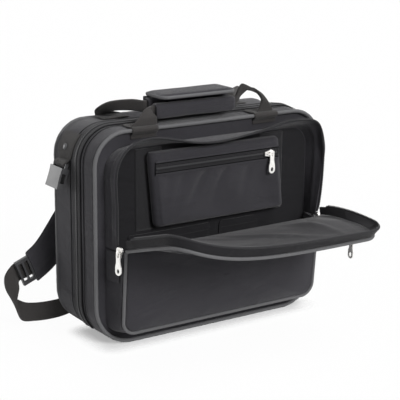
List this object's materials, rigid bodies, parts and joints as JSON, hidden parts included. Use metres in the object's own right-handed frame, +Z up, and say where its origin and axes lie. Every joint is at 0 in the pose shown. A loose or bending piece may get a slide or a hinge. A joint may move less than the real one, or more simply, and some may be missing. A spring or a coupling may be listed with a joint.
{
  "type": "clarinet case",
  "caption": "Soft fabric clarinet case with a fitted foam tray, zipped lid, open front pocket with a pouch, paired carry handles, side release buckles and padded shoulder straps",
  "frame": {"origin": "middle of the underside that the case stands on, halfway between the piping of its two faces", "axes": "+X to the right of someone facing the front pocket, +Y from the front pocket to the back panel, +Z up"},
  "size_m": [0.4738, 0.3137, 0.3223],
  "materials": {
    "nylon": "coarse woven nylon",
    "edging": "grey bound piping",
    "tape": "ribbed zip tape",
    "belt": "flat webbing",
    "plush": "plush over foam",
    "plastic": "fine grain",
    "nickel": "bright plated"
  },
  "bodies": {
    "case_body": {"rear_shell": "nylon", "rear_piping": "edging", "rear_zip_tape": "tape", "rear_hinge_tape": "tape", "instrument_tray": "plush", "back_pad": "nylon", "rear_handle_anchor_left": "belt", "rear_handle_anchor_right": "belt", "side_tab_left": "belt", "tab_rivet_left": "nickel", "shoulder_strap_left": "nylon", "ladder_lock_left": "plastic", "strap_webbing_left": "belt", "strap_anchor_left": "belt", "side_tab_right": "belt", "tab_rivet_right": "nickel", "shoulder_strap_right": "nylon", "ladder_lock_right": "plastic", "strap_webbing_right": "belt", "strap_anchor_right": "belt"},
    "lid": {"front_shell": "nylon", "front_piping": "edging", "front_zip_tape": "tape", "front_hinge_tape": "tape", "lid_pad": "plush", "gusset_collar": "nylon", "pocket_gusset": "nylon", "pocket_panel": "nylon", "pocket_piping": "edging", "grip_strip_left": "belt", "grip_strip_right": "belt", "slip_pocket_left": "nylon", "slip_pocket_right": "nylon", "front_handle_anchor_left": "belt", "front_handle_anchor_right": "belt"},
    "front_handle_loop": {"front_handle": "belt", "front_grip": "nylon"},
    "rear_handle_loop": {"rear_handle": "belt", "rear_grip": "nylon"},
    "wrap": {"handle_wrap": "nylon"},
    "flap": {"flap_panel": "nylon", "flap_rim": "tape", "flap_piping": "edging", "outer_zip_tape": "tape"},
    "pouch_body": {"pouch": "nylon", "pouch_zip_tape": "tape"},
    "pouch_slider_body": {"pouch_slider": "nickel"},
    "pouch_pull_body": {"pouch_pull": "nickel"},
    "flap_left_slider_body": {"flap_left_slider": "nickel"},
    "flap_left_pull_body": {"flap_left_pull": "nickel"},
    "flap_right_slider_body": {"flap_right_slider": "nickel"},
    "flap_right_pull_body": {"flap_right_pull": "nickel"},
    "outer_slider_body": {"outer_slider": "nickel"},
    "outer_pull_body": {"outer_pull": "nickel"},
    "main_lower_slider_body": {"main_lower_slider": "nickel"},
    "main_lower_pull_body": {"main_lower_pull": "nickel"},
    "main_upper_slider_body": {"main_upper_slider": "nickel"},
    "main_upper_pull_body": {"main_upper_pull": "nickel"},
    "buckle_left_body": {"buckle_left": "plastic"},
    "buckle_right_body": {"buckle_right": "plastic"}
  },
  "joints": [
    {"name": "lid_hinge", "type": "hinge", "parent": "case_body", "child": "lid", "pos_m": [0, -0.0102, 0], "axis": [1, 0, 0], "range_deg": [0, 110]},
    {"name": "flap_hinge", "type": "hinge", "parent": "lid", "child": "flap", "pos_m": [0, -0.0902, 0.134], "axis": [1, 0, 0], "range_deg": [-72, 73]},
    {"name": "front_handle_swing", "type": "hinge", "parent": "lid", "child": "front_handle_loop", "pos_m": [0, -0.052, 0.28434], "axis": [1, 0, 0], "range_deg": [0, 95]},
    {"name": "rear_handle_swing", "type": "hinge", "parent": "case_body", "child": "rear_handle_loop", "pos_m": [0, 0.0401, 0.2837], "axis": [-1, 0, 0], "range_deg": [0, 95]},
    {"name": "wrap_hinge", "type": "hinge", "parent": "rear_handle_loop", "child": "wrap", "pos_m": [0, -0.0165, 0.3145], "axis": [-1, 0, 0], "range_deg": [0, 120]},
    {"name": "pouch_pull_off", "type": "slide", "parent": "lid", "child": "pouch_body", "axis": [0, -1, 0], "range_m": [0, 0.06]},
    {"name": "pouch_zip", "type": "slide", "parent": "pouch_body", "child": "pouch_slider_body", "axis": [-1, 0, 0], "range_m": [0, 0.16]},
    {"name": "pouch_pull_swing", "type": "hinge", "parent": "pouch_slider_body", "child": "pouch_pull_body", "pos_m": [0.08292, -0.0718, 0.23], "axis": [0, -1, 0], "range_deg": [-55, 55]},
    {"name": "flap_zip_left", "type": "slide", "parent": "lid", "child": "flap_left_slider_body", "axis": [0, 0, 1], "range_m": [0, 0.08]},
    {"name": "flap_left_pull_swing", "type": "hinge", "parent": "flap_left_slider_body", "child": "flap_left_pull_body", "pos_m": [-0.1596, -0.08161, 0.134], "axis": [-0.2874, 0.9578, 0], "range_deg": [0, 120]},
    {"name": "flap_zip_right", "type": "slide", "parent": "lid", "child": "flap_right_slider_body", "axis": [0, 0, 1], "range_m": [0, 0.08]},
    {"name": "flap_right_pull_swing", "type": "hinge", "parent": "flap_right_slider_body", "child": "flap_right_pull_body", "pos_m": [0.1596, -0.08161, 0.134], "axis": [-0.2874, -0.9578, 0], "range_deg": [0, 120]},
    {"name": "outer_zip", "type": "slide", "parent": "flap", "child": "outer_slider_body", "axis": [-1, 0, 0], "range_m": [0, 0.06]},
    {"name": "outer_pull_swing", "type": "hinge", "parent": "outer_slider_body", "child": "outer_pull_body", "pos_m": [0.129, -0.18601, 0.13554], "axis": [0, 0.9983, 0.0578], "range_deg": [-80, 80]},
    {"name": "main_zip_lower", "type": "slide", "parent": "case_body", "child": "main_lower_slider_body", "axis": [0, 0, -1], "range_m": [0, 0.055]},
    {"name": "main_lower_pull_swing", "type": "hinge", "parent": "main_lower_slider_body", "child": "main_lower_pull_body", "pos_m": [0.1842, -0.0102, 0.118], "axis": [0, -1, 0], "range_deg": [0, 120]},
    {"name": "main_zip_upper", "type": "slide", "parent": "case_body", "child": "main_upper_slider_body", "axis": [0, 0, 1], "range_m": [0, 0.075]},
    {"name": "main_upper_pull_swing", "type": "hinge", "parent": "main_upper_slider_body", "child": "main_upper_pull_body", "pos_m": [0.1842, -0.0102, 0.157], "axis": [0, -1, 0], "range_deg": [0, 120]},
    {"name": "buckle_left_swing", "type": "hinge", "parent": "case_body", "child": "buckle_left_body", "pos_m": [-0.1842, 0.019, 0.231], "axis": [0, 1, 0], "range_deg": [-17, 100]},
    {"name": "buckle_right_swing", "type": "hinge", "parent": "case_body", "child": "buckle_right_body", "pos_m": [0.1842, 0.019, 0.231], "axis": [0, -1, 0], "range_deg": [-17, 100]}
  ]
}
